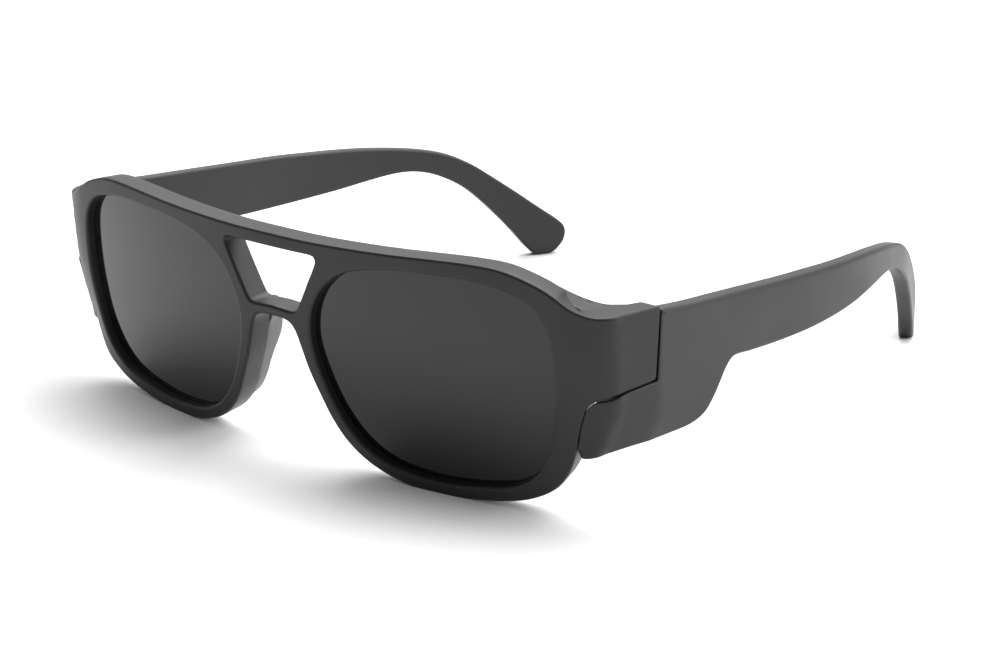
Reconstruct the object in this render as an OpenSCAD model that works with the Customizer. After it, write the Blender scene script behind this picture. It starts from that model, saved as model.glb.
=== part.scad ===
// Safety glasses with a double bridge, set-back lenses and side shields moulded on the temples.
// Millimetres. X runs across (the wearer's left is +X), the front faces -Y, Z is up, the floor is z = 0.
// The front is drawn in its own leaning face frame (u across, v up) and tipped by face_tilt.
// Everything is drawn with its origin near the bridge, and placed() moves it over the middle of the base.

/* [Front] */
// forward lean of the whole front, in degrees
face_tilt = 4.9; // [0:0.1:12]
// radius of the spherical front surface
base_radius = 262; // [180:1:400]
// front to back thickness of the front
front_depth = 5.2; // [4.4:0.1:7]
// height on the face where the sphere is furthest forward
crown_height = 27; // [15:0.5:35]
// half width over the end pieces
half_width = 75.4; // [68:0.1:80]
// length of the end piece side walls, measured back from the floor frame origin
end_back = 21; // [17:0.5:26]
// thickness of the end piece side walls
wall = 4.4; // [3:0.1:5]
// underside of the end piece side walls
end_bottom = 27; // [24:0.5:32]
// top of the end piece side walls
end_top = 40.4; // [37:0.1:43]
// radius of the upright outer corners of the end pieces
corner_radius = 8; // [5:0.1:9]

/* [Placing] */
// distance from the drawing origin back to the middle of the glasses
mid_y = 72.2; // [50:0.1:90]
// how much of the lowest edges is cut flat to rest on
sole = 0.5; // [0.2:0.1:1]

/* [Lenses] */
// depth of the lens front below the front surface
lens_setback = 1.8; // [1:0.1:2.4]
// lens thickness
lens_thick = 2; // [1.6:0.1:2.4]
// how far the lens edge reaches into the groove
lens_grip = 0.8; // [0.4:0.1:1.4]

/* [Temples] */
// outer face of the straight part of the temple
temple_face = 75.5; // [68:0.1:80]
// thickness of the temple
temple_thick = 3.4; // [2.5:0.1:5]
// where the temple starts to curve towards the head
curve_start = 62; // [40:1:90]
// radius of the inward curve in plan
curve_radius = 165; // [120:1:260]
// gap of the visible seam round the end piece
seam = 0.25; // [0.15:0.05:0.6]
// gap between the shield wrap and the notch in the front
notch_gap = 0.4; // [0.2:0.05:1]
// wall thickness of the side shield
shield_thick = 3; // [2:0.1:4]

/* [Nose pads] */
// how far the pads stand behind the front
pad_depth = 5; // [3:0.5:10]
// outward splay of the pads, in degrees
pad_splay = 20; // [5:1:35]

/* [Hinges] */
// distance of the pin from the middle of the glasses
pin_x = 69; // [65:0.1:71]
// distance of the pin behind the frame origin
pin_y = 21; // [18:0.1:24]
// underside of the lowest barrel
barrel_bottom = 29.5; // [28:0.1:32]
// height of one barrel of the five
barrel_height = 1.4; // [1:0.1:2]
// outside diameter of the barrels
barrel_dia = 3.4; // [2.6:0.1:4]
// diameter of the hinge screw
screw_dia = 1.4; // [1:0.1:1.8]
// thickness of the hinge leaves
leaf_thick = 0.8; // [0.6:0.1:1.2]
// diameter of the rivet shanks
rivet_dia = 1.2; // [0.8:0.1:1.6]

/* [Hidden] */
steps = 5;             // spline points between two control points
face_shift = 0.2;      // moves the tipped front back on to the temple seam
running = 0.03;        // radial play of the hinge pin and the rivets
groove_play = 0.05;    // play between lens and groove
end_gap = 0.05;        // play between neighbouring barrels
ball_facets = 220;     // facets of the big base curve balls in the mesh preview
round_facets = 48;     // facets of the small round parts in the mesh preview
black = [0.16, 0.16, 0.17];
smoke = [0.08, 0.08, 0.09];
grey = [0.33, 0.33, 0.34];
steel = [0.75, 0.75, 0.77];

// top of the front, from the middle out to the shoulder and the end piece
top_line = [[0, 46.5], [10, 46.5], [20, 46.7], [30, 47], [40, 47.4], [48, 47.5], [54, 47],
    [60, 45.2], [63.5, 43.5], [67, 41.3], [70.2, 40], [73, 39.7], [75.4, 39.7]];
// from the shield notch down round the rim to the nose and the arch under the bridge
low_line = [[70.2, 23.9], [68.8, 22.8], [68, 21], [67.2, 18.5], [66.4, 15.5], [65.6, 12],
    [64, 8.2], [61.4, 5.2], [57, 2.7], [52, 1.2], [46, 0.3], [40, -0.2], [35, -0.3],
    [30, 0.1], [25, 1.3], [20, 3.5], [16, 6.6], [13, 10.5], [10.7, 15], [8.4, 20],
    [6.8, 24.6], [5.8, 27.4], [4.6, 29], [2.8, 29.6], [0, 29.7]];
notch_corner = [75.4, 26.1];
// visible lens opening of the left side, anticlockwise from the outer end
opening = [[63.5, 24.5], [63, 34.5], [60.8, 39.6], [56.5, 42.6], [47.5, 44.3], [38.5, 44.4],
    [32, 44.1], [25.8, 43.4], [19.3, 41.7], [15, 39], [12, 35.5], [10.1, 31], [9.8, 25.5],
    [11.9, 18.5], [15.2, 12], [19.6, 7], [25.3, 3.9], [32, 2.7], [39, 2.5], [47, 3.3],
    [54, 5], [59, 8.8], [62, 15]];
// half of the hole between the two bridge bars, from the top middle to the bottom middle
bridge_hole = [[0, 43.8], [6, 43.8], [10.8, 43.8], [12, 43.4], [12, 42.2], [10, 38.4], [7, 32.9],
    [6.2, 31.9], [5, 31.6], [2.5, 31.7], [0, 31.8]];
// temple top and bottom in side view, from the seam back to the tip
temple_top = [[21, 40.1], [30, 39.1], [40, 38.3], [50, 37.5], [60, 36.7], [70, 36], [80, 35.1],
    [90, 34.2], [98, 33.3], [106, 32.1], [113, 30.7], [119, 28.8], [124.6, 25.9], [130, 22],
    [136, 17.3], [142, 12.3], [145.6, 9.3], [147.4, 7], [147.2, 4], [145.4, 1.4], [143, -0.3]];
temple_low = [[140.2, 0.2], [138, 3.2], [135, 7.2], [131.6, 11.3], [127.6, 15.7], [123.6, 19.5],
    [119.4, 22.3], [114.4, 24.7], [109.2, 26], [103.6, 26.2], [96, 25.6], [88, 24.9], [78, 24.5], [68, 24.4],
    [58, 24.6], [50, 25], [45.5, 25.4], [43.4, 25.2], [41.6, 23.8], [39.6, 21.2], [37.4, 18.6],
    [34.6, 16.3], [31, 15.1], [26, 14.7], [14, 13.9], [2, 13.2]];
// middle line of the core wire in side view, and of its channel from the butt end
core_line = [[21.6, 35.6], [40, 33.4], [60, 31.6], [80, 30.3], [96, 29.5], [106, 28.8],
    [114, 26.7], [120, 23.7], [126, 19.3], [132, 14]];
channel_line = concat([[18, 36.1]], core_line, [[132.3, 13.7]]);
// crescent of the nose pad on the back of the left nasal rim
pad_line = [[5.4, 27.6], [6.7, 24.8], [8.4, 20], [10.7, 15], [13, 10.5], [16, 6.8], [18, 7.2],
    [17.2, 9.4], [14.6, 13.4], [12.2, 18], [10.6, 22.6], [9.8, 26.6], [8.6, 29.2], [6.6, 29.4]];

pad_turn_x = 8;        // the pads are splayed about this line beside the nose
core_play = 0.05;      // play round the core wire in its channel
head_height = 0.38;    // height of a rivet head
head_dia = 1.9;        // diameter of a rivet head
screw_head_dia = 2.4;  // diameter of the hinge screw head
screw_head_height = 0.8;
slot_width = 0.4;      // driver slot across the screw head
slot_depth = 0.4;
leaf_front_y = 13.6;   // front end of the front hinge leaf
leaf_front_length = 6.2;
leaf_back_length = 9.4;
web_front_length = 1.8;
web_back_length = 2.6;
plate_gap = 0.02;      // play between a leaf and the plastic
core_wide = 1.6;       // height of the core wire
core_thick = 1;        // thickness of the core wire
core_depth = 1.2;      // plastic over the outside of the core wire
rivet_depth = 3.6;     // depth of a rivet hole, from 1 mm above the plastic or the leaf
rivet_length = 3;      // length of a rivet shank
leaf_height = 5 * barrel_height + 4 * end_gap;
leaf_mid = barrel_bottom + leaf_height / 2;
end_inner = half_width - wall;
corner_x = half_width - corner_radius - 0.1;
corner_y = 8.3 + corner_radius;
gusset_bottom = 37.8;  // underside of the thick web over the hinge
gusset = [[end_inner + 1, end_back], [end_inner, end_back], [63, 14], [63, 9.2], [end_inner + 1, 11.5]];
far = 200;             // big enough to reach past everything
lean_in = 0.173;       // how much the shield leans in per millimetre towards the front
lean_down = 0.407;     // how much the shield leans in per millimetre downwards
lean_y = 9;            // point where the leaning face has the full half width
lean_z = 26;
wrap_start = 60;       // how far the shield is wrapped round towards the nose
shield_end = 43;       // rear end of the hollow shield skin
temple_inner = temple_face - temple_thick;
butt = end_back + seam;
hinge_reach = end_inner - plate_gap;

// one point of a Catmull-Rom curve between b and c
function bend(a, b, c, d, t) = 0.5 * (2 * b + (c - a) * t + (2 * a - 5 * b + 4 * c - d) * t * t
    + (3 * b - a - 3 * c + d) * t * t * t);
// open smooth curve through the points p
function curve(p) = let (n = len(p)) [for (i = [0:n - 2]) for (k = [0:steps - 1])
    bend(i == 0 ? 2 * p[0] - p[1] : p[i - 1], p[i], p[i + 1],
        i == n - 2 ? 2 * p[n - 1] - p[n - 2] : p[i + 2], k / steps), p[n - 1]];
// closed smooth curve through the points p
function ring(p) = let (n = len(p)) [for (i = [0:n - 1]) for (k = [0:steps - 1])
    bend(p[(i + n - 1) % n], p[i], p[(i + 1) % n], p[(i + 2) % n], k / steps)];
function unit(a) = a / norm(a);
// moves every point of the closed line p sideways by d
function grow(p, d) = let (n = len(p)) [for (i = [0:n - 1])
    let (t = unit(p[(i + 1) % n] - p[(i + n - 1) % n])) p[i] + d * [t[1], -t[0]]];
// band of width w along the open line p
function band(p, w) = let (n = len(p), side = [for (i = [0:n - 1])
    let (t = unit(p[min(i + 1, n - 1)] - p[max(i - 1, 0)])) [-t[1], t[0]]])
    concat([for (i = [0:n - 1]) p[i] + side[i] * w / 2],
        [for (i = [n - 1:-1:0]) p[i] - side[i] * w / 2]);

half_outline = concat(curve(top_line), [notch_corner], curve(low_line));
outline = concat(half_outline, [for (i = [len(half_outline) - 2:-1:1])
    [-half_outline[i][0], half_outline[i][1]]]);
hole_half = curve(bridge_hole);
hole_line = concat(hole_half, [for (i = [len(hole_half) - 2:-1:1]) [-hole_half[i][0], hole_half[i][1]]]);
lens_line = ring(opening);

// puts a shape drawn in the face frame into the floor frame
module tipped() translate([0, face_shift, 0]) rotate([face_tilt, 0, 0]) children();
// prism over a face outline, from the front of the glasses to the depth back
module face_prism(p, front, back) translate([0, back, 0]) rotate([90, 0, 0])
    linear_extrude(back - front) polygon(p);
// ball under the front surface, d deeper than the surface
module ball(d) translate([0, base_radius, crown_height]) sphere(r = base_radius - d, $fn = ball_facets);
// everything between two depths below the front surface
module layer(d1, d2) difference() { ball(d1); ball(d2); }
// prism over a side view outline, between two x values
module side_prism(p, x1, x2) translate([x1, 0, 0]) rotate([90, 0, 90])
    linear_extrude(x2 - x1) polygon(p);
// the right side is the mirror image of the left one
module sided(side) { if (side < 0) mirror([1, 0, 0]) children(); else children(); }
// everything above the resting plane
module above_floor() translate([-100, -30, sole]) cube([200, 200, 80]);
// moves the drawing over the middle of its base
module placed() translate([0, -mid_y, -sole]) children();

// what is outside the rounded upright corner, d below its surface
module corner_cut(d) translate([corner_x, corner_y, 0]) difference() {
    translate([0, -30, 0]) cube([30, 30, 60]);
    translate([0, 0, -1]) cylinder(h = 62, r = corner_radius - d, $fn = round_facets * 2);
}

module lens_groove() intersection() {
    layer(lens_setback - groove_play, lens_setback + lens_thick + groove_play);
    face_prism(grow(lens_line, lens_grip + groove_play), -5, 30);
}

module front_frame() {
    module rims() tipped() difference() {
        intersection() {
            layer(0, front_depth);
            face_prism(outline, -5, 30);
        }
        face_prism(hole_line, -6, 31);
        for (side = [-1, 1]) sided(side) {
            face_prism(lens_line, -6, 31);
            lens_groove();
        }
    }
    // side wall of the end piece, running back from the rim to the seam
    module end_wall() difference() {
        intersection() {
            translate([end_inner, 0, end_bottom])
                cube([wall, end_back, end_top - end_bottom]);
            tipped() ball(0);
        }
        for (y = rivet_front) rivet_hole(y, end_inner - 1);
    }
    // thick web over the hinge, between the side wall and the back of the rim
    module end_web() translate([0, 0, gusset_bottom])
        linear_extrude(end_top - gusset_bottom) polygon(gusset);
    color(black) placed() difference() {
        intersection() {
            union() {
                rims();
                for (side = [-1, 1]) sided(side) {
                    end_wall();
                    end_web();
                }
            }
            above_floor();
        }
        for (side = [-1, 1]) sided(side) corner_cut(0);
    }
}

module lens(side) color(smoke) placed() sided(side) tipped() intersection() {
    layer(lens_setback, lens_setback + lens_thick);
    face_prism(grow(lens_line, lens_grip), -5, 30);
}

module nose_pad(side) color(grey) placed() sided(side) tipped() difference() {
    intersection() {
        translate([pad_turn_x, 0, 0]) rotate([0, 0, -pad_splay]) translate([-pad_turn_x, 0, 0])
            face_prism(ring(pad_line), -10, 30);
        layer(front_depth + plate_gap, front_depth + pad_depth);
    }
    face_prism(lens_line, -6, front_depth + 3);
}

// plan view of the temple between two depths below its outer face
module plan_band(d1, d2) {
    translate([temple_face - d2, -5]) square([d2 - d1, curve_start + 5]);
    intersection() {
        translate([temple_face - curve_radius, curve_start]) difference() {
            circle(r = curve_radius - d1, $fn = 360);
            circle(r = curve_radius - d2, $fn = 360);
        }
        translate([0, curve_start]) square([100, 100]);
    }
}
module plan_prism(d1, d2) translate([0, 0, -5]) linear_extrude(60) plan_band(d1, d2);

// big block whose slanted face is the leaning outside of the shield, d deeper than that face
module lean_block(d) {
    n = unit([1, -lean_in, -lean_down]);
    translate([half_width, lean_y, lean_z]) rotate([0, 0, atan2(n[1], n[0])])
        rotate([0, -asin(n[2]), 0]) translate([-far - d, -far, -far]) cube([far, 2 * far, 2 * far]);
}
// room inside the shield skin, d below its outside
module shield_core(d) difference() {
    intersection() {
        tipped() ball(d);
        lean_block(d);
        translate([0, -20, 0]) cube([temple_face - d, 90, 60]);
    }
    corner_cut(d);
}

temple_side = concat(curve(temple_top), curve(temple_low));

module temple(side) color(black) placed() sided(side) difference() {
    intersection() {
        difference() {
            temple_shape();
            end_space();
            for (y = rivet_temple) rivet_hole(y, temple_inner - 1);
        }
        above_floor();
    }
    core_solid(channel_line, core_play);
}

// arm with the hook behind the seam, and the side shield with the part wrapped to the front
module temple_shape() {
    intersection() {
        plan_prism(0, temple_thick);
        side_prism(temple_side, 30, 90);
        translate([30, butt, -5]) cube([60, 140, 60]);
        lean_block(0);
    }
    intersection() {
        difference() { shield_core(0); shield_core(shield_thick); }
        side_prism(temple_side, wrap_start, 90);
        translate([wrap_start, -5, 0]) cube([30, shield_end + 5, end_bottom + 5]);
    }
}
// space left for the end piece and the rim of the front
module end_space() {
    translate([wrap_start, -5, end_bottom - seam]) cube([30, butt + 5, 30]);
    tipped() face_prism(grow(outline, -notch_gap), -10, 17);
}

// the core wire along a line, made bigger by extra for its channel
module core_solid(line, extra) intersection() {
    side_prism(band(line, core_wide + 2 * extra), 40, 80);
    plan_prism(core_depth - extra, core_depth + core_thick + extra);
}
module temple_core(side) color(steel) placed() sided(side) core_solid(core_line, 0);

rivet_front = [15, 17.8];
rivet_temple = [25.6, 29.4];
module rivet_hole(y, x) translate([x, y, leaf_mid]) rotate([0, 90, 0])
    cylinder(h = rivet_depth, d = rivet_dia + 2 * running, $fn = round_facets);

// barrels number "list" (0 to 4) of the five, joined to a leaf
module barrels(list) for (i = list)
    translate([pin_x, pin_y, barrel_bottom + i * (barrel_height + end_gap)])
        cylinder(h = barrel_height, d = barrel_dia, $fn = round_facets);
module webs(list, y, length, reach) for (i = list)
    translate([pin_x, y, barrel_bottom + i * (barrel_height + end_gap)])
        cube([reach - pin_x, length, barrel_height]);
module pin_bore() translate([pin_x, pin_y, 20])
    cylinder(h = 30, d = screw_dia + 2 * running, $fn = round_facets);

module front_hinge(side) color(steel) placed() sided(side) difference() {
    union() {
        translate([hinge_reach - leaf_thick, leaf_front_y, barrel_bottom])
            cube([leaf_thick, leaf_front_length, leaf_height]);
        barrels([0, 2, 4]);
        webs([0, 2, 4], pin_y - 2, web_front_length, hinge_reach);
    }
    pin_bore();
    for (y = rivet_front) rivet_hole(y, hinge_reach - leaf_thick - 1);
}

module temple_hinge(side) color(steel) placed() sided(side) difference() {
    union() {
        translate([temple_inner - plate_gap - leaf_thick, butt + 1, barrel_bottom])
            cube([leaf_thick, leaf_back_length, leaf_height]);
        barrels([1, 3]);
        webs([1, 3], butt + 0.15, web_back_length, temple_inner - plate_gap);
    }
    pin_bore();
    for (y = rivet_temple) rivet_hole(y, temple_inner - leaf_thick - 1);
}

module hinge_screw(side) color(steel) placed() sided(side) difference() {
    translate([pin_x, pin_y, barrel_bottom]) {
        translate([0, 0, -0.3])
            cylinder(h = leaf_height + 0.4, d = screw_dia, $fn = round_facets);
        translate([0, 0, leaf_height + plate_gap])
            cylinder(h = screw_head_height, d = screw_head_dia, $fn = round_facets);
    }
    // driver slot
    translate([pin_x - screw_head_dia, pin_y - slot_width / 2,
        barrel_bottom + leaf_height + plate_gap + screw_head_height - slot_depth])
        cube([2 * screw_head_dia, slot_width, 1]);
}

// two rivets with low heads, from the leaf into the plastic
module rivets(side, list, seat) color(steel) placed() sided(side) for (y = list)
    translate([seat, y, leaf_mid]) rotate([0, 90, 0]) {
        translate([0, 0, -head_height - plate_gap])
            cylinder(h = head_height, d = head_dia, $fn = round_facets);
        translate([0, 0, -0.1]) cylinder(h = rivet_length, d = rivet_dia, $fn = round_facets);
    }

module right_lens() lens(-1);
module left_lens() lens(1);
module right_nose_pad() nose_pad(-1);
module left_nose_pad() nose_pad(1);
module right_temple() temple(-1);
module left_temple() temple(1);
module right_temple_core() temple_core(-1);
module left_temple_core() temple_core(1);
module right_front_hinge() front_hinge(-1);
module left_front_hinge() front_hinge(1);
module right_temple_hinge() temple_hinge(-1);
module left_temple_hinge() temple_hinge(1);
module right_hinge_screw() hinge_screw(-1);
module left_hinge_screw() hinge_screw(1);
module right_front_rivets() rivets(-1, rivet_front, hinge_reach - leaf_thick);
module left_front_rivets() rivets(1, rivet_front, hinge_reach - leaf_thick);
module right_temple_rivets() rivets(-1, rivet_temple, temple_inner - plate_gap - leaf_thick);
module left_temple_rivets() rivets(1, rivet_temple, temple_inner - plate_gap - leaf_thick);

front_frame();
right_lens();
left_lens();
right_nose_pad();
left_nose_pad();
right_temple();
left_temple();
right_temple_core();
left_temple_core();
right_front_hinge();
left_front_hinge();
right_temple_hinge();
left_temple_hinge();
right_hinge_screw();
left_hinge_screw();
right_front_rivets();
left_front_rivets();
right_temple_rivets();
left_temple_rivets();
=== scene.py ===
import math

import bpy
import numpy as np
from mathutils import Matrix, Vector
from mathutils.geometry import delaunay_2d_cdt


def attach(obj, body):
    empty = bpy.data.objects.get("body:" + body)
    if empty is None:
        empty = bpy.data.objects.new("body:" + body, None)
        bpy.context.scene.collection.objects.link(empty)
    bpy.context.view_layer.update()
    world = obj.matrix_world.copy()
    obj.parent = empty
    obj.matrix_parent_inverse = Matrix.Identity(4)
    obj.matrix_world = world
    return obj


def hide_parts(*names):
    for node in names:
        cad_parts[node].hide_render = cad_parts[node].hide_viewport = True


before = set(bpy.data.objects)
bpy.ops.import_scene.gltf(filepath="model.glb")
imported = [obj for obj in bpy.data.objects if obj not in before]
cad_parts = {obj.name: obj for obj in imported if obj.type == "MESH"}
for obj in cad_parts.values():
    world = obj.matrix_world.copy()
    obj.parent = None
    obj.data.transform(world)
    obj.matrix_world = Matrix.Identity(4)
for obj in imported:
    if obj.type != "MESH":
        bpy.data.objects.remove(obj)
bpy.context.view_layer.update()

# Outlines are in millimetres in the drawing frame of the CAD source.
# put() turns them into metres in the row frame, whose origin is the middle of the base.
MM = 0.001
MID_Y = 72.2
SOLE = 0.5

# The front leans forward and follows a large ball.
FACE_TILT = math.radians(4.9)
FACE_SHIFT = 0.2
BALL = 262.0
CROWN = 27.0
FRONT_DEPTH = 5.2
HALF_WIDTH = 75.4
END_BACK = 21.0
WALL = 4.4

# The lenses sit back in the rims.
LENS_SETBACK = 1.8
LENS_THICK = 2.0
LENS_GRIP = 0.35

# The temples run straight back and then curve inwards.
TEMPLE_FACE = 75.5
TEMPLE_THICK = 3.3
CURVE_START = 62.0
CURVE_RADIUS = 165.0
SEAM = 0.25
NOTCH_GAP = 0.2

# The side shields lean in towards the front and the bottom, ahead of LEAN_END.
SHIELD_FRONT = 9.0
LEAN_BACK = 0.173
LEAN_UP = 0.407
LEAN_TOP = 26.0
LEAN_END = 60.0
LEAN_BLEND = 1.5

# Web over the hinge: its plan, and a top that rises towards the lens.
WEB_LINE = [(72.5, 20.9), (70.9, 20.9), (59.6, 11), (59.6, 9), (62.6, 9.2), (72.5, 13)]
WEB_TOP = 40.35
WEB_THICK = 2.6
WEB_RISE = 3.6
WEB_RISE_FROM = 67.0
WEB_RISE_RUN = 7.0
WEB_RISE_POWER = 1.5

# The nose pads stand off the back of the front, thickest at PAD_BULGE_AT up the face.
PAD_DEPTH = 4.8
PAD_BULGE = 0.5
PAD_BULGE_AT = 21.5
PAD_BULGE_REACH = 5.0
PAD_SET_IN = 0.3
PAD_SPLAY = math.tan(math.radians(20))

# Outlines: the front, its holes and the pad for positive x, then the temple from the side.
TOP_LINE = [(0, 46.5), (10, 46.5), (20, 46.7), (30, 47), (40, 47.4), (48, 47.5), (54, 47),
            (60, 45.2), (63.5, 43.5), (67, 41.3), (70.2, 40), (73, 39.7), (80, 39.7)]
NOTCH_LINE = [(70.2, 23.9), (68.8, 22.8), (68, 21), (67.2, 18.5), (66.4, 15.5), (65.6, 12)]
LOW_LINE = [(64, 8.2), (61.4, 5.2), (57, 2.7), (52, 1.2), (46, 0.3), (40, -0.2), (35, -0.3),
            (30, 0.1), (25, 1.3), (20, 3.5), (16, 6.6), (13, 10.5), (10.7, 15), (8.4, 20),
            (6.8, 24.6), (5.8, 27.4), (4.6, 29), (2.8, 29.6), (0, 29.7)]
OPENING = [(63.5, 24.5), (63, 34.5), (60.8, 39.6), (56.5, 42.6), (47.5, 44.3), (38.5, 44.4),
           (32, 44.1), (25.8, 43.4), (19.3, 41.7), (15, 39), (12, 35.5), (10.1, 31),
           (9.8, 25.5), (11.9, 18.5), (15.2, 12), (19.6, 7), (25.3, 3.9), (32, 2.7),
           (39, 2.5), (47, 3.3), (54, 5), (59, 8.8), (62, 15)]
BRIDGE_HOLE = [(0, 43.8), (6, 43.8), (10.8, 43.8), (12, 43.4), (12, 42.2), (10, 38.4),
               (7, 32.9), (6.2, 31.9), (5, 31.6), (2.5, 31.7), (0, 31.8)]
PAD_LINE = [(5.4, 27.6), (6.7, 24.8), (8.4, 20), (10.7, 15), (13, 10.5), (16, 6.8), (18, 7.2),
            (17.2, 9.4), (14.6, 13.4), (12.2, 18), (10.6, 22.6), (9.8, 26.6), (8.6, 29.2),
            (6.6, 29.4)]
TEMPLE_TOP = [(21.25, 40.1), (30, 39.1), (40, 38.3), (50, 37.5), (60, 36.7), (70, 36),
              (80, 35.1), (90, 34.2), (98, 33.3), (106, 32.1), (113, 30.7), (119, 28.8),
              (124.6, 25.9), (130, 22), (136, 17.3), (142, 12.3), (145.6, 9.3), (147.4, 7),
              (147.2, 4), (145.4, 1.4), (143.6, 0.55)]
TEMPLE_LOW = [(140.4, 0.55), (138, 3.2), (135, 7.2), (131.6, 11.3), (127.6, 15.7),
              (123.6, 19.5), (119.4, 22.3), (114.4, 24.7), (109.2, 26), (103.6, 26.2),
              (96, 25.6), (88, 24.9), (78, 24.5), (68, 24.4), (58, 24.6), (50, 25),
              (45.5, 25.4), (43.4, 25.2), (41.6, 23.8), (39.6, 21.2), (37.4, 18.6),
              (34.6, 16.3), (31, 15.1), (26, 14.6), (18, 13.9), (11, 13.2)]

# Developed length round the end piece corner: front, rounded corner, side wall.
CORNER = 2.2
CORNER_GROWTH = 0.2
FLARE = 1.9
CORNER_START = HALF_WIDTH - FLARE - CORNER
CORNER_END = CORNER_START + 3.5
WALL_END = CORNER_END + 7.8
SEAM_SLANT = 0.8

# From SQUEEZE_FROM to the corner the inner layers are squeezed, but only above the notch.
SQUEEZE_FROM = 64.0
SQUEEZE_LEVEL = 25.0
SQUEEZE_BLEND = 1.5

# Near its ends the front falls back from the ball, and sooner below FALL_LEVEL.
FALL_RATE = 0.026
FALL_FROM = 64.0
FALL_SOONER = 4.0
FALL_LEVEL = 26.0
FALL_BLEND = 12.0

# The side shield wraps round to the rim: side, rounded corner, wrap.
# The inner layers of the wrap lie back and slightly inwards of its outer face.
WRAP_ROUND = 2.0
WRAP_START = SHIELD_FRONT + WRAP_ROUND
WRAP_CORNER = WRAP_START - 3.2
WRAP_LOW = 13.6
WRAP_BACK = 0.97
WRAP_INWARD = 0.25
WRAP_KNEE = 0.27
SIDE_STEADY = 18.0
FLARE_RUN = END_BACK - SHIELD_FRONT - 1.5
FLARE_MOST = 1.1

# Edge radii.
BROW_EDGE = 0.5
RIM_EDGE = 0.6
NOTCH_EDGE = 0.22
SEAM_EDGE = 0.2
FRONT_BACK_EDGE = 0.4
WEB_EDGE = 0.3
LENS_EDGE = 0.12
PAD_EDGE = 0.2
PAD_BACK_EDGE = 1.1
ARM_EDGE = 1.0
SHIELD_EDGE = 0.7
TEMPLE_BACK_EDGE = 0.6

# How plate() rounds an edge: its angles in degrees, then its limits.
EDGE_STEPS = [90, 72, 54, 36, 18, 0]
ROOM_SHARE = 0.75
ROOM_LEAST = 0.05
ROOM_MOST = 9.0
EDGE_LEAST = 0.03
EDGE_BLUR = 2
SUPPORT = 0.25

# Loose points of a face keep this share of the grid away from its edge lines.
GRID_CLEAR = 0.45

# Spacing at which soften() rounds a corner.
FINE = 0.2

# Rounds in which a place on the curved front is found from its height.
SEARCH_ROUNDS = 4


def catmull(points, closed=False, steps=12):
    """Smooth curve through the points."""
    p = np.array(points, float)
    n = len(p)
    if closed:
        before, after, last = np.roll(p, 1, 0), np.roll(p, -1, 0), np.roll(p, -2, 0)
    else:
        ends = np.vstack([2 * p[0] - p[1], p, 2 * p[-1] - p[-2]])
        before, after, last = ends[:n - 1], p[1:], ends[3:]
        p = p[:-1]
    t = (np.arange(steps) / steps)[None, :, None]
    a, b, c, d = before[:, None], p[:, None], after[:, None], last[:, None]
    q = 0.5 * (2 * b + (c - a) * t + (2 * a - 5 * b + 4 * c - d) * t ** 2
               + (3 * b - a - 3 * c + d) * t ** 3)
    q = q.reshape(-1, 2)
    return q if closed else np.vstack([q, np.array(points[-1], float)])


def resample(line, spacing):
    """Closed line with evenly spaced points."""
    loop = np.vstack([line, line[:1]])
    run = np.concatenate([[0], np.cumsum(np.linalg.norm(np.diff(loop, axis=0), axis=1))])
    keep = np.concatenate([[True], np.diff(run) > 1e-9])
    loop, run = loop[keep], run[keep]
    count = max(12, int(round(run[-1] / spacing)))
    at = np.arange(count) * run[-1] / count
    return np.stack([np.interp(at, run, loop[:, k]) for k in (0, 1)], 1)


def blur(values, width):
    """Gaussian blur along a closed line, width in points."""
    reach = int(4 * width) + 1
    k = np.exp(-0.5 * (np.arange(-reach, reach + 1) / width) ** 2)
    k /= k.sum()
    v = np.asarray(values, float)
    return sum(w * np.roll(v, j - reach, axis=0) for j, w in enumerate(k))


def soften(line, corner, spacing):
    """Closed line with its corners rounded to about the given radius."""
    fine = resample(np.array(line, float), FINE)
    return resample(blur(fine, max(0.6, corner / FINE * 0.7)), spacing)


def area(line):
    """Area of a closed line, positive when it runs anticlockwise."""
    x, y = line[:, 0], line[:, 1]
    return 0.5 * np.sum(x * np.roll(y, -1) - y * np.roll(x, -1))


def turned(line, anticlockwise):
    """The closed line, made to run the given way."""
    return line if (area(line) > 0) == anticlockwise else line[::-1].copy()


def left_normals(line):
    """Unit normals on the left of a closed line."""
    t = np.roll(line, -1, 0) - np.roll(line, 1, 0)
    t /= np.linalg.norm(t, axis=1)[:, None]
    return np.stack([-t[:, 1], t[:, 0]], 1)


def tight_radius(line):
    """Radius of the curve at each point where it bulges out of the material, else large."""
    a, b = line - np.roll(line, 1, 0), np.roll(line, -1, 0) - line
    turn = a[:, 0] * b[:, 1] - a[:, 1] * b[:, 0]
    bend = turn / (np.linalg.norm(a, axis=1) * np.linalg.norm(b, axis=1))
    length = 0.5 * (np.linalg.norm(a, axis=1) + np.linalg.norm(b, axis=1))
    return length / np.maximum(blur(bend, 1.5), 1e-3)


def inside(points, loops):
    """Even-odd test of points against closed loops."""
    odd = np.zeros(len(points), bool)
    px, py = points[:, 0][:, None], points[:, 1][:, None]
    for loop in loops:
        x1, y1 = loop[:, 0][None], loop[:, 1][None]
        x2, y2 = np.roll(loop[:, 0], -1)[None], np.roll(loop[:, 1], -1)[None]
        cross = (y1 > py) != (y2 > py)
        at = x1 + (py - y1) * (x2 - x1) / np.where(y2 == y1, 1e-12, y2 - y1)
        odd ^= (np.sum(cross & (px < at), axis=1) % 2).astype(bool)
    return odd


def put(points):
    """Drawing millimetres to row frame metres."""
    return (np.asarray(points) - np.array([0, MID_Y, SOLE])) * MM


def mirrored(points):
    """The same points on the other side of the middle plane."""
    return points * np.array([-1.0, 1.0, 1.0])


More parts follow.
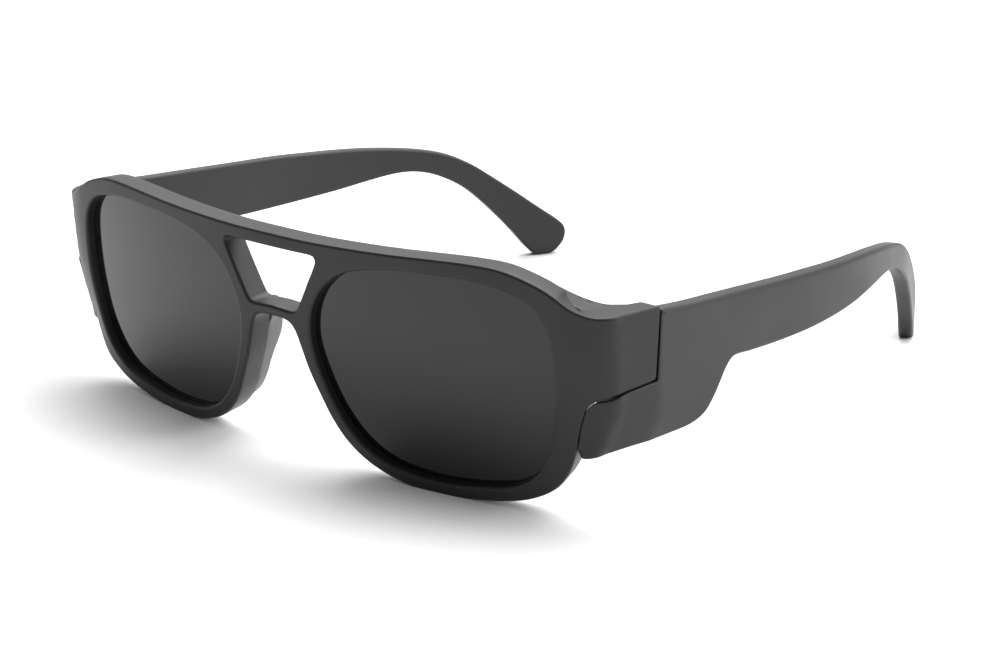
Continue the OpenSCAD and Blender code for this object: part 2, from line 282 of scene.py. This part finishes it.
def plate(name, loops, place, depth, bevel, back_bevel, grid=1.6, flip=False):
    """Solid sheet with rounded edges: loops are its outline and holes, place(uv, d) bends it.
    bevel(uv) and back_bevel(uv) give the edge radius at each outline point."""
    loops = [turned(loop, k == 0) for k, loop in enumerate(loops)]
    verts, faces, rings, flat_rings = [], [], [], []
    angles = np.radians(EDGE_STEPS)
    total = 0
    for loop in loops:
        normal = left_normals(loop)
        room = np.clip(ROOM_SHARE * tight_radius(loop), ROOM_LEAST, ROOM_MOST)
        front = np.minimum(bevel(loop), room)
        front = np.maximum(blur(front, EDGE_BLUR), EDGE_LEAST)[:, None]
        back = np.minimum(back_bevel(loop), room)
        back = np.maximum(blur(back, EDGE_BLUR), EDGE_LEAST)[:, None]
        support = np.maximum(front, back) + np.minimum(SUPPORT, SUPPORT * room[:, None])
        levels = [(support, 0 * front)]
        levels += [(front * (1 - math.cos(a)), front * (1 - math.sin(a))) for a in angles]
        middle = [front + (depth - back - front) * k for k in (1 / 3, 2 / 3)]
        levels += [(0 * front, m) for m in middle]
        levels += [(back * (1 - math.cos(a)), depth - back * (1 - math.sin(a)))
                   for a in angles[::-1]]
        levels += [(support, 0 * front + depth)]
        n = len(loop)
        start = total
        for inset, deep in levels:
            verts.append(place(loop + normal * inset, np.broadcast_to(deep, (n, 1))[:, 0]))
            total += n
        for k in range(len(levels) - 1):
            a, b = start + k * n, start + (k + 1) * n
            faces += [(a + i, b + i, b + (i + 1) % n, a + (i + 1) % n) for i in range(n)]
        rings.append((start, start + (len(levels) - 1) * n, n))
        flat_rings.append(loop + normal * support)
    low, high = flat_rings[0].min(0), flat_rings[0].max(0)
    gx, gy = np.meshgrid(np.arange(low[0], high[0], grid), np.arange(low[1], high[1], grid))
    spots = np.stack([gx.ravel(), gy.ravel()], 1)
    spots[:, 0] += (np.arange(len(gx)) % 2).repeat(gx.shape[1]) * grid / 2
    spots = spots[inside(spots, flat_rings)]
    edge = np.vstack(flat_rings)
    near = np.array([np.min(np.sum((edge - s) ** 2, axis=1)) for s in spots])
    spots = spots[near > (GRID_CLEAR * grid) ** 2]
    flat = np.vstack([edge, spots])
    lines, at = [], 0
    for ring in flat_rings:
        n = len(ring)
        lines += [(at + i, at + (i + 1) % n) for i in range(n)]
        at += n
    out_v, _, out_f, from_v, _, _ = delaunay_2d_cdt(
        [Vector(p) for p in flat], lines, [], 0, 1e-7)
    out = np.array([list(v) for v in out_v])
    tris = np.array([f for f in out_f if len(f) == 3])
    tris = tris[inside(out[tris].mean(1), flat_rings)]
    for side, deep in ((0, 0.0), (1, depth)):
        index = np.full(len(out), -1)
        for i, ids in enumerate(from_v):
            ids = [j for j in ids if j < len(edge)]
            if ids:
                j, at = ids[0], 0
                for start_front, start_back, n in rings:
                    if j < at + n:
                        index[i] = (start_front, start_back)[side] + j - at
                        break
                    at += n
        loose = np.where(index < 0)[0]
        index[loose] = total + np.arange(len(loose))
        total += len(loose)
        verts.append(place(out[loose], np.full(len(loose), deep)))
        order = tris if side == 0 else tris[:, ::-1]
        faces += [tuple(index[list(t)]) for t in order.tolist()]
    points = np.vstack(verts)
    if flip:
        points = mirrored(points)
        faces = [f[::-1] for f in faces]
    mesh = bpy.data.meshes.new(name)
    mesh.from_pydata(put(points).tolist(), [], [[int(i) for i in f] for f in faces])
    mesh.validate()
    for p in mesh.polygons:
        p.use_smooth = True
    piece = bpy.data.objects.new(name, mesh)
    bpy.context.scene.collection.objects.link(piece)
    return piece


def lean(points):
    """Face frame (across, back, up) to the drawing frame."""
    c, s = math.cos(FACE_TILT), math.sin(FACE_TILT)
    x, w, v = points[:, 0], points[:, 1], points[:, 2]
    return np.stack([x, w * c - v * s + FACE_SHIFT, v * c + w * s], 1)


def corner_fall(u, v):
    """How much further back than the ball the front is near its outer ends."""
    start = FALL_FROM - FALL_SOONER * np.clip((FALL_LEVEL - v) / FALL_BLEND, 0, 1)
    return FALL_RATE * np.maximum(np.abs(u) - start, 0) ** 2


def on_ball(u, v, deep):
    """Point below the spherical front surface."""
    fall = BALL - np.sqrt(BALL ** 2 - u ** 2 - (v - CROWN) ** 2) + corner_fall(u, v)
    way = np.stack([u, fall - BALL, v - CROWN], 1) / BALL
    centre = np.array([0, BALL, CROWN])
    return lean(centre + way * (BALL - np.asarray(deep))[:, None])


def place_lens(uv, deep):
    return on_ball(uv[:, 0], uv[:, 1], LENS_SETBACK + deep)


def place_pad(uv, deep):
    away = (uv[:, 1] - PAD_BULGE_AT) / PAD_BULGE_REACH
    deep = deep * (1 + PAD_BULGE * np.exp(-away ** 2))
    p = on_ball(uv[:, 0], uv[:, 1], FRONT_DEPTH - PAD_SET_IN + deep)
    p[:, 0] += deep * PAD_SPLAY
    return p


def place_front(sv, deep):
    """Bends the developed front: s runs across the face, round the corner and back."""
    s, v = sv[:, 0], sv[:, 1]
    side, a = np.sign(s), np.abs(s)
    wall_x = HALF_WIDTH - FLARE - deep * WALL / FRONT_DEPTH
    radius = CORNER + deep * CORNER_GROWTH
    share = np.clip((a - SQUEEZE_FROM) / (CORNER_START - SQUEEZE_FROM), 0, 1)
    turning = np.clip((v - SQUEEZE_LEVEL) / SQUEEZE_BLEND, 0, 1)
    reach = CORNER_START + turning * (wall_x - radius - CORNER_START)
    x = np.where(a < SQUEEZE_FROM, a, SQUEEZE_FROM + share * (reach - SQUEEZE_FROM))
    flat = on_ball(x, v, deep)
    step = 0.05
    slope = (flat - on_ball(x - step, v, deep)) / step
    knee = flat + slope * (wall_x - flat[:, 0])[:, None] / slope[:, :1]
    level = on_ball(np.full_like(v, HALF_WIDTH), v, 0 * v)[:, 2]
    knee[:, 2] = 0.5 * (flat[:, 2] + level)
    far = np.stack([wall_x, knee[:, 1] + radius, level], 1)
    t = np.clip((a - CORNER_START) / (CORNER_END - CORNER_START), 0, 1)[:, None]
    bent = (1 - t) ** 2 * flat + 2 * t * (1 - t) * knee + t ** 2 * far
    run = np.clip((a - CORNER_END) / (WALL_END - CORNER_END), 0, 1)
    bent[:, 1] += run * (END_BACK - far[:, 1])
    bent[:, 0] += run * FLARE
    bent[:, 0] *= side
    return bent


def low_min(a, b, k):
    """The smaller of two surfaces, blended over the distance k."""
    h = np.maximum(k - np.abs(a - b), 0) / k
    return np.minimum(a, b) - h * h * k / 4


def temple_x(y, z):
    """Outer face of the temple: straight, curved inwards at the back, leaning in at the shield."""
    back = np.maximum(y - CURVE_START, 0)
    x = TEMPLE_FACE - (CURVE_RADIUS - np.sqrt(CURVE_RADIUS ** 2 - back ** 2))
    sloped = TEMPLE_FACE + LEAN_BACK * (y - SHIELD_FRONT) + LEAN_UP * (z - LEAN_TOP)
    x = np.where(y < LEAN_END, low_min(x, sloped, LEAN_BLEND), x)
    return x - FLARE * np.clip((END_BACK - y) / FLARE_RUN, 0, FLARE_MOST)


def ball_y(x, z):
    """How far back the front surface is, by width and height."""
    c, s = math.cos(FACE_TILT), math.sin(FACE_TILT)
    v, w = z / c, 0 * z
    for _ in range(SEARCH_ROUNDS):
        w = BALL - np.sqrt(BALL ** 2 - x ** 2 - (v - CROWN) ** 2) + corner_fall(x, v)
        v = (z - w * s) / c
    return w * c - v * s + FACE_SHIFT


def shield_corner(z):
    """Where the outer face of the shield meets the front surface, by height."""
    y = np.full_like(z, SHIELD_FRONT)
    for _ in range(SEARCH_ROUNDS):
        x = temple_x(y, z)
        y = ball_y(x, z)
    return x, y


def temple_side(y, z, deep):
    """Point below the outer face of the temple."""
    step = 0.05
    x = temple_x(y, z)
    dy = (temple_x(y + step, z) - temple_x(y - step, z)) / (2 * step)
    dz = (temple_x(y, z + step) - temple_x(y, z - step)) / (2 * step)
    size = np.sqrt(1 + dy ** 2 + dz ** 2)
    return np.stack([x - deep / size, y + deep * dy / size, z + deep * dz / size], 1)


def place_temple(sz, deep):
    """Bends the developed temple: s is the distance back, or runs round on to the front."""
    s, z = sz[:, 0], sz[:, 1]
    cx, cy = shield_corner(z)
    share = np.clip((s - WRAP_START) / (SIDE_STEADY - WRAP_START), 0, 1)
    wall_y = cy + WRAP_ROUND
    y = np.where(s > SIDE_STEADY, s, wall_y + share * (SIDE_STEADY - wall_y))
    sidewall = temple_side(y, z, deep)
    x = cx - WRAP_ROUND - np.maximum(WRAP_CORNER - s, 0)
    wrap = np.stack([x, ball_y(x, z) + deep * WRAP_BACK, z], 1)
    wrap[:, 0] -= deep * WRAP_INWARD
    knee = np.stack([sidewall[:, 0], wrap[:, 1] + WRAP_KNEE * WRAP_ROUND, z], 1)
    t = np.clip((s - WRAP_CORNER) / (WRAP_START - WRAP_CORNER), 0, 1)[:, None]
    return (1 - t) ** 2 * wrap + 2 * t * (1 - t) * knee + t ** 2 * sidewall


def material(name, colour, rough, specular=0.5, grain=2600, grain_depth=0.00002,
             mottle=0.12, coat=0.0, metallic=0.0):
    """Moulded or polished surface: fine grain in colour and bump, slow change in gloss."""
    m = bpy.data.materials.new(name)
    m.use_nodes = True
    tree = m.node_tree
    nodes = tree.nodes
    shader = nodes["Principled BSDF"]
    shader.inputs["Metallic"].default_value = metallic
    shader.inputs["Specular IOR Level"].default_value = specular
    shader.inputs["Coat Weight"].default_value = coat
    shader.inputs["Coat Roughness"].default_value = 0.03
    place = nodes.new("ShaderNodeTexCoord")
    slow = nodes.new("ShaderNodeTexNoise")
    slow.inputs["Scale"].default_value = 45
    slow.inputs["Detail"].default_value = 3
    fine = nodes.new("ShaderNodeTexNoise")
    fine.inputs["Scale"].default_value = grain
    fine.inputs["Detail"].default_value = 4
    fine.inputs["Roughness"].default_value = 0.65
    tree.links.new(place.outputs["Object"], slow.inputs["Vector"])
    tree.links.new(place.outputs["Object"], fine.inputs["Vector"])
    ramp = nodes.new("ShaderNodeMapRange")
    ramp.inputs["From Min"].default_value = 0.3
    ramp.inputs["From Max"].default_value = 0.7
    ramp.inputs["To Min"].default_value = rough * (1 - mottle)
    ramp.inputs["To Max"].default_value = rough * (1 + mottle)
    tree.links.new(slow.outputs["Fac"], ramp.inputs["Value"])
    tree.links.new(ramp.outputs["Result"], shader.inputs["Roughness"])
    mix = nodes.new("ShaderNodeMix")
    mix.data_type = "RGBA"
    mix.inputs["A"].default_value = (*[c * (1 - mottle) for c in colour], 1)
    mix.inputs["B"].default_value = (*[c * (1 + mottle) for c in colour], 1)
    tree.links.new(fine.outputs["Fac"], mix.inputs["Factor"])
    tree.links.new(mix.outputs["Result"], shader.inputs["Base Color"])
    if grain_depth:
        bump = nodes.new("ShaderNodeBump")
        bump.inputs["Strength"].default_value = 0.35
        bump.inputs["Distance"].default_value = grain_depth
        tree.links.new(fine.outputs["Fac"], bump.inputs["Height"])
        tree.links.new(bump.outputs["Normal"], shader.inputs["Normal"])
    return m


def finish_piece(piece, mat, body, slot, *nodes):
    """Gives a piece its material, its body and the CAD nodes that it stands for."""
    piece.data.materials.clear()
    piece.data.materials.append(mat)
    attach(piece, body)
    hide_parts(*nodes)


black = material("moulded_black", (0.010, 0.010, 0.0105), 0.42, specular=0.36)
pad_black = material("pad_black", (0.05, 0.05, 0.051), 0.5)
smoke = material("smoke_lens", (0.004, 0.004, 0.0045), 0.07, specular=0.42, grain=400,
                 grain_depth=0, mottle=0.08, coat=0.05)
steel = material("hinge_steel", (0.62, 0.62, 0.64), 0.28, grain=900, metallic=1.0,
                 grain_depth=0.00001)


def even(radius):
    """The same edge radius all the way round."""
    return lambda uv: np.full(len(uv), radius)


def whole(half):
    """Closed line from its half at positive x, which starts and ends on the middle line."""
    half = np.array(half, float)
    return np.vstack([half, (half * [-1, 1])[-2:0:-1]])


def front_edge(uv):
    """Edge radius of the front: smaller at the notch and the seams than elsewhere."""
    a, v = np.abs(uv[:, 0]), uv[:, 1]
    brow_from, notch_from, notch_low, notch_high, seam_reach = 38, 64.5, 11, 27.5, 1.2
    radius = np.where(v > brow_from, BROW_EDGE, RIM_EDGE)
    at_notch = (a > notch_from) & (v < notch_high) & (v > notch_low)
    radius = np.where(at_notch, NOTCH_EDGE, radius)
    return np.where(a > WALL_END - seam_reach, SEAM_EDGE, radius)


def make_front():
    seam = [(WALL_END, 39.7), (WALL_END - SEAM_SLANT, 26), (79, 25.55), (76, 25.1), (73, 24.85)]
    half = np.vstack([catmull(TOP_LINE), seam, catmull(NOTCH_LINE + LOW_LINE)])
    outline = soften(whole(half), corner=0.45, spacing=0.5)
    hole = soften(whole(catmull(BRIDGE_HOLE)), corner=0.3, spacing=0.45)
    eye = resample(catmull(OPENING, closed=True), spacing=0.5)
    piece = plate("front_shell", [outline, hole, eye, eye * [-1, 1]], place_front, FRONT_DEPTH,
                  front_edge, even(FRONT_BACK_EDGE))
    finish_piece(piece, black, "front", "frame_plastic", "front_frame")


def place_web(xy, deep):
    share = np.clip((WEB_RISE_FROM - xy[:, 0]) / WEB_RISE_RUN, 0, 1)
    top = WEB_TOP + WEB_RISE * share ** WEB_RISE_POWER
    return np.stack([xy[:, 0], xy[:, 1], top - deep], 1)


def make_web(side, hand):
    """Thick web over the hinge, between the side wall and the back of the rim."""
    line = resample(np.array(WEB_LINE, float), spacing=0.4)
    line = soften(line, corner=0.3, spacing=0.4)
    piece = plate(hand + "_end_web", [line], place_web, WEB_THICK, even(WEB_EDGE),
                  even(WEB_EDGE), grid=1.0, flip=side < 0)
    finish_piece(piece, black, "front", "frame_plastic", "front_frame")


def make_lens(side, name):
    eye = resample(catmull(OPENING, closed=True), spacing=0.6)
    edge = turned(eye, anticlockwise=False)
    edge = edge + left_normals(edge) * LENS_GRIP
    piece = plate(name + "_shell", [edge], place_lens, LENS_THICK, even(LENS_EDGE),
                  even(LENS_EDGE), grid=2.2, flip=side < 0)
    finish_piece(piece, smoke, "front", "lens_smoke", name)


def make_pad(side, name):
    line = soften(catmull(PAD_LINE, closed=True), corner=0.5, spacing=0.4)
    piece = plate(name + "_shell", [line], place_pad, PAD_DEPTH, even(PAD_EDGE),
                  even(PAD_BACK_EDGE), grid=0.8, flip=side < 0)
    finish_piece(piece, pad_black, "front", "pad_plastic", name)


def temple_outline():
    """Side outline of a temple, whose wrap follows the notch in the rim at a small gap."""
    notch = catmull(NOTCH_LINE)
    notch = notch[notch[:, 1] > WRAP_LOW][::-1]
    way = np.gradient(notch, axis=0)
    way /= np.linalg.norm(way, axis=1)[:, None]
    notch = notch + NOTCH_GAP * np.stack([way[:, 1], -way[:, 0]], 1)
    at = on_ball(notch[:, 0], notch[:, 1], 0 * notch[:, 0])
    cx, _ = shield_corner(at[:, 2])
    seam_s = WRAP_CORNER - (cx - WRAP_ROUND - at[:, 0])
    wrap = np.stack([seam_s, at[:, 2]], 1)
    foot = [(WRAP_CORNER, 12.8)]
    roof = [(WRAP_START, 25.95), (WRAP_START + 3, 26.25), (END_BACK + SEAM - SEAM_SLANT, 26.75)]
    return np.vstack([catmull(TEMPLE_TOP), catmull(TEMPLE_LOW), foot, wrap, roof])


def temple_edge(sz):
    """Edge radius of a temple: full on the top of the arm, small along the seams."""
    s, z = sz[:, 0], sz[:, 1]
    arm_from, seam_low, wrap_seam_low = 30, 25.2, 14.6
    radius = np.where(z > arm_from, ARM_EDGE, SHIELD_EDGE)
    near_seam = (s < END_BACK + 1.0) & (z > seam_low)
    wrap_seam = (s < WRAP_CORNER - 0.4) & (z > wrap_seam_low)
    return np.where(near_seam | wrap_seam, SEAM_EDGE, radius)


def make_temple(side, name, body):
    line = soften(temple_outline(), corner=0.4, spacing=0.5)
    piece = plate(name + "_shell", [line], place_temple, TEMPLE_THICK, temple_edge,
                  even(TEMPLE_BACK_EDGE), grid=1.4, flip=side < 0)
    finish_piece(piece, black, body, "frame_plastic", name)


make_front()
for side, hand in ((1, "left"), (-1, "right")):
    make_web(side, hand)
    make_lens(side, hand + "_lens")
    make_pad(side, hand + "_nose_pad")
    make_temple(side, hand + "_temple", hand + "_arm")

# The CAD nodes that are still shown are the hinges, screws, rivets and core wires.
for name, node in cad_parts.items():
    if not node.hide_render:
        node.data.materials.clear()
        node.data.materials.append(steel)


# Studio: pale floor, surroundings that are darker ahead of the glasses, large soft lights.
def studio_floor():
    mesh = bpy.data.meshes.new("studio_floor")
    far = 6.0
    mesh.from_pydata([(-far, -far, 0), (far, -far, 0), (far, far, 0), (-far, far, 0)], [],
                     [(0, 1, 2, 3)])
    floor = bpy.data.objects.new("studio_floor", mesh)
    bpy.context.scene.collection.objects.link(floor)
    m = bpy.data.materials.new("studio_floor")
    m.use_nodes = True
    shader = m.node_tree.nodes["Principled BSDF"]
    shader.inputs["Base Color"].default_value = (0.93, 0.93, 0.93, 1)
    shader.inputs["Roughness"].default_value = 0.9
    shader.inputs["Specular IOR Level"].default_value = 0.1
    mesh.materials.append(m)


def soft_light(name, azimuth, elevation, distance, width, height, power):
    """Rectangular light that faces the origin, in metres, degrees and watts."""
    light = bpy.data.lights.new(name, "AREA")
    light.shape = "RECTANGLE"
    light.size, light.size_y, light.energy = width, height, power
    lamp = bpy.data.objects.new(name, light)
    a, e = math.radians(azimuth), math.radians(elevation)
    way = Vector((math.sin(a) * math.cos(e), -math.cos(a) * math.cos(e), math.sin(e)))
    lamp.location = way * distance
    lamp.rotation_euler = way.to_track_quat("Z", "Y").to_euler()
    bpy.context.scene.collection.objects.link(lamp)


def studio():
    studio_floor()
    world = bpy.data.worlds.new("studio")
    bpy.context.scene.world = world
    world.use_nodes = True
    tree = world.node_tree
    back = tree.nodes["Background"]
    back.inputs["Strength"].default_value = 1.0
    way = tree.nodes.new("ShaderNodeTexCoord")
    split = tree.nodes.new("ShaderNodeSeparateXYZ")
    ramp = tree.nodes.new("ShaderNodeMapRange")
    ramp.interpolation_type = "SMOOTHSTEP"
    ramp.inputs["From Min"].default_value = -0.6
    ramp.inputs["From Max"].default_value = 0.5
    ramp.inputs["To Min"].default_value = 0.25
    ramp.inputs["To Max"].default_value = 1.0
    mix = tree.nodes.new("ShaderNodeMix")
    mix.data_type = "RGBA"
    mix.inputs["A"].default_value = (0, 0, 0, 1)
    mix.inputs["B"].default_value = (1, 1, 1, 1)
    tree.links.new(way.outputs["Generated"], split.inputs["Vector"])
    tree.links.new(split.outputs["Y"], ramp.inputs["Value"])
    tree.links.new(ramp.outputs["Result"], mix.inputs["Factor"])
    tree.links.new(mix.outputs["Result"], back.inputs["Color"])
    soft_light("key", azimuth=-155, elevation=64, distance=1.3, width=1.5, height=1.2, power=24)
    soft_light("side", azimuth=118, elevation=32, distance=1.2, width=0.9, height=0.8, power=9)
    bpy.context.scene.view_settings.view_transform = "Standard"


def camera():
    """Camera in front, to the wearer's left, looking down at the glasses."""
    azimuth, elevation, roll = math.radians(41.21), math.radians(17.81), math.radians(-0.65)
    place = put([324.5, -309.3, 169.2])
    back = Vector((math.sin(azimuth) * math.cos(elevation),
                   -math.cos(azimuth) * math.cos(elevation), math.sin(elevation)))
    level = Vector((math.cos(azimuth), math.sin(azimuth), 0))
    rise = back.cross(level)
    right = level * math.cos(roll) + rise * math.sin(roll)
    up = rise * math.cos(roll) - level * math.sin(roll)
    data = bpy.data.cameras.new("camera")
    data.lens, data.sensor_width = 89.2, 36
    data.clip_start, data.clip_end = 0.01, 50
    cam = bpy.data.objects.new("camera", data)
    turn = Matrix((right, up, back)).transposed().to_4x4()
    cam.matrix_world = Matrix.Translation(Vector(place)) @ turn
    bpy.context.scene.collection.objects.link(cam)
    bpy.context.scene.camera = cam


studio()
camera()

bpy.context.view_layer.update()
